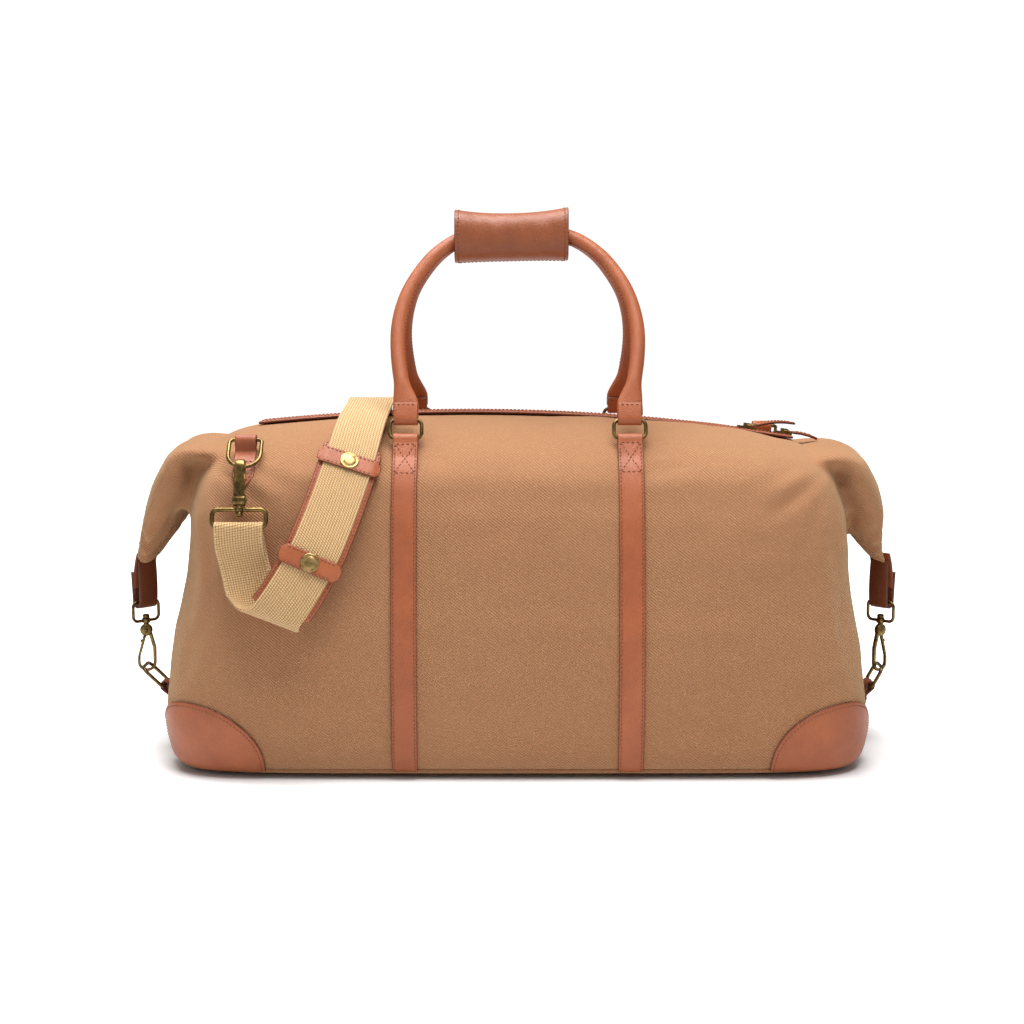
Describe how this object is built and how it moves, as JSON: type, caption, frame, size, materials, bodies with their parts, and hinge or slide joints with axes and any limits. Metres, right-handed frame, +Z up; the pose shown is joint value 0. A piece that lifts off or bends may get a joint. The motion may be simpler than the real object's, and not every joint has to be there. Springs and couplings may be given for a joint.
{
  "type": "duffel bag",
  "caption": "Soft canvas weekender with leather handles, straps and corner patches, clipped-down wings, a top zip and a shoulder strap.",
  "frame": {"origin": "on the floor, under the middle of the bag", "axes": "+X along the bag to its zip-pull end, +Y from front to back, +Z up"},
  "size_m": [0.6426, 0.3092, 0.4455],
  "materials": {
    "canvas": "matte twill canvas",
    "leather": "satin, lightly grained",
    "brass": "antiqued, satin",
    "webbing": "basket-weave cotton webbing",
    "board": "matte"
  },
  "bodies": {
    "bag": {"front_panel": "canvas", "back_panel": "canvas", "left_end_panel": "canvas", "right_end_panel": "canvas", "base_panel": "canvas", "base_board": "board", "corner_patch_front_left": "leather", "foot_front_left": "brass", "strap_front_left": "leather", "corner_patch_front_right": "leather", "foot_front_right": "brass", "strap_front_right": "leather", "zip_half_front": "leather", "strap_tab_front": "leather", "strap_loop_front": "brass", "corner_patch_back_left": "leather", "foot_back_left": "brass", "strap_back_left": "leather", "corner_patch_back_right": "leather", "foot_back_right": "brass", "strap_back_right": "leather", "zip_half_back": "leather", "strap_tab_back": "leather", "strap_loop_back": "brass", "end_anchor_left": "leather", "end_anchor_right": "leather", "shoulder_webbing": "webbing", "shoulder_pad": "leather", "pad_band_lower": "leather", "pad_band_upper": "leather"},
    "front_rings": {"handle_ring_front_left": "brass", "handle_ring_front_right": "brass"},
    "front_handle": {"handle_front": "leather", "grip_front": "leather"},
    "front_strap_ring": {"strap_ring_front": "brass"},
    "front_strap_hook": {"strap_hook_front": "brass"},
    "front_strap_gate": {"strap_gate_front": "brass"},
    "back_rings": {"handle_ring_back_left": "brass", "handle_ring_back_right": "brass"},
    "back_handle": {"handle_back": "leather", "grip_back": "leather"},
    "back_strap_ring": {"strap_ring_back": "brass"},
    "back_strap_hook": {"strap_hook_back": "brass"},
    "back_strap_gate": {"strap_gate_back": "brass"},
    "left_wing": {"wing_left": "canvas", "wing_tab_left": "leather"},
    "left_wing_ring": {"wing_ring_left": "brass"},
    "left_wing_hook": {"wing_hook_left": "brass"},
    "left_wing_gate": {"wing_gate_left": "brass"},
    "left_end_ring": {"end_ring_left": "brass"},
    "right_wing": {"wing_right": "canvas", "wing_tab_right": "leather"},
    "right_wing_ring": {"wing_ring_right": "brass"},
    "right_wing_hook": {"wing_hook_right": "brass"},
    "right_wing_gate": {"wing_gate_right": "brass"},
    "right_end_ring": {"end_ring_right": "brass"},
    "inner_slider": {"zip_slider_inner": "brass"},
    "inner_pull": {"zip_pull_inner": "leather"},
    "outer_slider": {"zip_slider_outer": "brass"},
    "outer_pull": {"zip_pull_outer": "leather"}
  },
  "joints": [
    {"name": "front_rings_swing", "type": "hinge", "parent": "bag", "child": "front_rings", "pos_m": [0, -0.0805, 0.2655], "axis": [1, 0, 0], "range_deg": [0, 40]},
    {"name": "front_handle_swing", "type": "hinge", "parent": "front_rings", "child": "front_handle", "pos_m": [0, -0.07393, 0.28009], "axis": [1, 0, 0], "range_deg": [0, 110]},
    {"name": "front_strap_ring_swing", "type": "hinge", "parent": "bag", "child": "front_strap_ring", "pos_m": [-0.2145, -0.079, 0.2645], "axis": [1, 0, 0], "range_deg": [-2, 3]},
    {"name": "front_strap_hook_swivel", "type": "hinge", "parent": "bag", "child": "front_strap_hook", "pos_m": [-0.2145, -0.1185, 0.221], "axis": [0, 0.3099, 0.9508], "range_deg": [-25, 25]},
    {"name": "front_strap_gate_press", "type": "hinge", "parent": "front_strap_hook", "child": "front_strap_gate", "pos_m": [-0.2145, -0.1185, 0.221], "axis": [1, 0, 0], "range_deg": [0, 16], "stiffness_Nm_per_rad": 0.02, "springref_deg": -11.46},
    {"name": "back_rings_swing", "type": "hinge", "parent": "bag", "child": "back_rings", "pos_m": [0, 0.0805, 0.2655], "axis": [-1, 0, 0], "range_deg": [0, 40]},
    {"name": "back_handle_swing", "type": "hinge", "parent": "back_rings", "child": "back_handle", "pos_m": [0, 0.07393, 0.28009], "axis": [-1, 0, 0], "range_deg": [0, 110]},
    {"name": "back_strap_ring_swing", "type": "hinge", "parent": "bag", "child": "back_strap_ring", "pos_m": [0.2145, 0.079, 0.2645], "axis": [-1, 0, 0], "range_deg": [-2, 3]},
    {"name": "back_strap_hook_swivel", "type": "hinge", "parent": "bag", "child": "back_strap_hook", "pos_m": [0.2145, 0.1185, 0.221], "axis": [0, -0.3099, 0.9508], "range_deg": [-25, 25]},
    {"name": "back_strap_gate_press", "type": "hinge", "parent": "back_strap_hook", "child": "back_strap_gate", "pos_m": [0.2145, 0.1185, 0.221], "axis": [-1, 0, 0], "range_deg": [0, 16], "stiffness_Nm_per_rad": 0.02, "springref_deg": -11.46},
    {"name": "left_wing_fold", "type": "hinge", "parent": "bag", "child": "left_wing", "pos_m": [-0.268, 0, 0.236], "axis": [0, 1, 0], "range_deg": [0, 70]},
    {"name": "left_wing_ring_swing", "type": "hinge", "parent": "left_wing", "child": "left_wing_ring", "pos_m": [-0.3135, 0, 0.122], "axis": [0.7071, 0.7071, 0], "range_deg": [-1, 1]},
    {"name": "left_wing_hook_swivel", "type": "hinge", "parent": "left_wing_ring", "child": "left_wing_hook", "pos_m": [-0.3135, 0, 0.1055], "axis": [0, 0, 1], "range_deg": [-12, 12]},
    {"name": "left_wing_gate_press", "type": "hinge", "parent": "left_wing_hook", "child": "left_wing_gate", "pos_m": [-0.3135, 0, 0.0975], "axis": [0, -1, 0], "range_deg": [0, 16], "stiffness_Nm_per_rad": 0.02, "springref_deg": -11.46},
    {"name": "left_end_ring_swing", "type": "hinge", "parent": "bag", "child": "left_end_ring", "pos_m": [-0.2976, 0, 0.0506], "axis": [0, 1, 0], "range_deg": [0, 8]},
    {"name": "right_wing_fold", "type": "hinge", "parent": "bag", "child": "right_wing", "pos_m": [0.268, 0, 0.236], "axis": [0, -1, 0], "range_deg": [0, 70]},
    {"name": "right_wing_ring_swing", "type": "hinge", "parent": "right_wing", "child": "right_wing_ring", "pos_m": [0.3065, 0, 0.122], "axis": [-0.7071, 0.7071, 0], "range_deg": [-1, 1]},
    {"name": "right_wing_hook_swivel", "type": "hinge", "parent": "right_wing_ring", "child": "right_wing_hook", "pos_m": [0.3065, 0, 0.1055], "axis": [0, 0, 1], "range_deg": [-12, 12]},
    {"name": "right_wing_gate_press", "type": "hinge", "parent": "right_wing_hook", "child": "right_wing_gate", "pos_m": [0.3065, 0, 0.0975], "axis": [-0.5736, 0.8192, 0], "range_deg": [0, 16], "stiffness_Nm_per_rad": 0.02, "springref_deg": -11.46},
    {"name": "right_end_ring_swing", "type": "hinge", "parent": "bag", "child": "right_end_ring", "pos_m": [0.2976, 0, 0.0506], "axis": [0, -1, 0], "range_deg": [-1, 3]},
    {"name": "inner_slider_travel", "type": "hinge", "parent": "bag", "child": "inner_slider", "pos_m": [-0.04, 0, -1.418], "axis": [0, 1, 0], "range_deg": [-10.3, 0]},
    {"name": "outer_slider_travel", "type": "hinge", "parent": "bag", "child": "outer_slider", "pos_m": [-0.04, 0, -1.418], "axis": [0, 1, 0], "range_deg": [-0.2, 0]},
    {"name": "inner_pull_flip", "type": "hinge", "parent": "inner_slider", "child": "inner_pull", "pos_m": [0.1916, 0, 0.27069], "axis": [0, -1, 0], "range_deg": [0, 150]},
    {"name": "outer_pull_flip", "type": "hinge", "parent": "outer_slider", "child": "outer_pull", "pos_m": [0.22268, 0, 0.26614], "axis": [0, -1, 0], "range_deg": [0, 40]}
  ]
}
